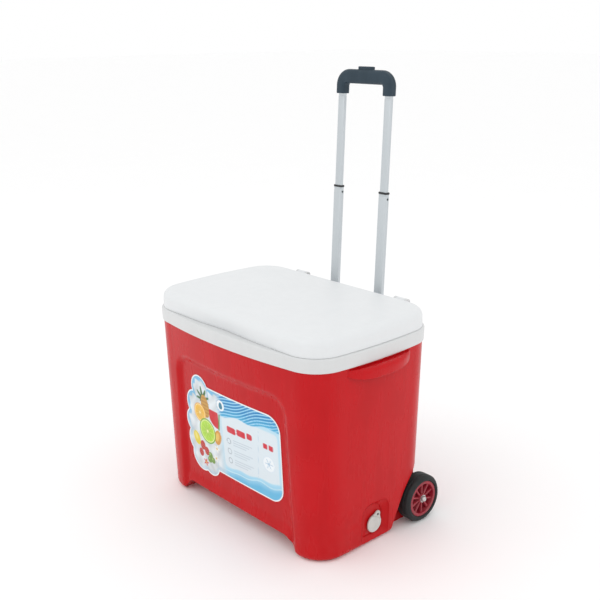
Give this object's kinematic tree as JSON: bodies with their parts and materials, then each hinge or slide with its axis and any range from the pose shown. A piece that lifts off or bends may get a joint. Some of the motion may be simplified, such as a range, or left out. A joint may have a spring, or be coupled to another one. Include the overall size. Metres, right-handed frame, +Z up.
{
  "type": "wheeled cooler",
  "caption": "Insulated cool box with a hinged lid, side grips, a drain plug, wheels at the rear and a telescoping pull handle.",
  "frame": {"origin": "middle of the footprint, on the ground, including the wheels and the raised handle", "axes": "+Z up, -Y towards the labelled front, +X towards the side with the drain"},
  "size_m": [0.5918, 0.442, 0.9573],
  "materials": {
    "red_shell": "satin-gloss moulded polypropylene",
    "white_plastic": "satin moulded polypropylene",
    "foam": "closed-cell insulating foam",
    "dark_grip": "fine-textured dark blue-grey plastic",
    "black_plastic": "satin black moulded plastic",
    "aluminium": "clear-anodised satin tube",
    "steel": "zinc-plated",
    "tyre": "matte black tread",
    "wheel_red": "satin dark red moulded hub",
    "seal_rubber": "matte",
    "label": "printed vinyl"
  },
  "bodies": {
    "cooler": {"outer_shell": "red_shell", "inner_liner": "white_plastic", "body_foam": "foam", "drain_spout": "white_plastic", "drain_nut": "white_plastic", "drain_gasket": "seal_rubber", "drain_tether": "white_plastic", "drain_tether_pin": "black_plastic", "front_label": "label", "axle": "steel", "axle_retainer_left": "black_plastic", "axle_retainer_right": "black_plastic", "retainer_screw_left": "steel", "retainer_screw_right": "steel", "wheel_washer_left": "steel", "wheel_washer_right": "steel", "axle_cap_left": "steel", "axle_cap_right": "steel", "handle_bezel": "black_plastic", "handle_foot": "black_plastic", "bezel_screw": "steel", "foot_screw": "steel", "fixed_tube_left": "aluminium", "fixed_tube_right": "aluminium", "hinge_pin_left": "steel", "hinge_pin_right": "steel"},
    "lid": {"lid_top": "white_plastic", "lid_underside": "white_plastic", "lid_foam": "foam"},
    "wheel_left": {"tyre_left": "tyre", "hub_left": "wheel_red"},
    "wheel_right": {"tyre_right": "tyre", "hub_right": "wheel_red"},
    "middle_stage": {"middle_tube_left": "aluminium", "middle_tube_right": "aluminium", "middle_ring_left": "black_plastic", "middle_ring_right": "black_plastic"},
    "upper_stage": {"upper_tube_left": "aluminium", "upper_tube_right": "aluminium", "lock_pin_left": "black_plastic", "lock_pin_right": "black_plastic", "grip_front": "dark_grip", "grip_rear": "dark_grip", "grip_screw_left": "steel", "grip_screw_right": "steel", "button_spring": "steel"},
    "release": {"release_button": "dark_grip", "release_bar": "black_plastic", "release_rod_left": "steel", "release_rod_right": "steel"},
    "drain_cap": {"drain_cap": "white_plastic"}
  },
  "joints": [
    {"name": "lid_hinge", "type": "hinge", "parent": "cooler", "child": "lid", "pos_m": [0, 0.16097, 0.468], "axis": [-1, 0, 0], "range_deg": [0, 90]},
    {"name": "lower_stage_slide", "type": "slide", "parent": "cooler", "child": "middle_stage", "axis": [0, 0.0499, 0.9988], "range_m": [-0.284, 0]},
    {"name": "upper_stage_slide", "type": "slide", "parent": "middle_stage", "child": "upper_stage", "axis": [0, 0.0499, 0.9988], "range_m": [-0.206, 0]},
    {"name": "release_button_press", "type": "slide", "parent": "upper_stage", "child": "release", "axis": [0, 0.0499, 0.9988], "range_m": [-0.004, 0], "stiffness_N_per_m": 400, "springref_m": 0.003, "deforming": ["button_spring"]},
    {"name": "wheel_left_spin", "type": "hinge", "parent": "cooler", "child": "wheel_left", "pos_m": [-0.28, 0.11347, 0.0528], "axis": [1, 0, 0], "continuous": true},
    {"name": "wheel_right_spin", "type": "hinge", "parent": "cooler", "child": "wheel_right", "pos_m": [0.28, 0.11347, 0.0528], "axis": [1, 0, 0], "continuous": true},
    {"name": "drain_cap_swing", "type": "hinge", "parent": "cooler", "child": "drain_cap", "pos_m": [0.2598, -0.01445, 0.05086], "axis": [0, -0.8829, 0.4695], "range_deg": [0, 100]}
  ]
}
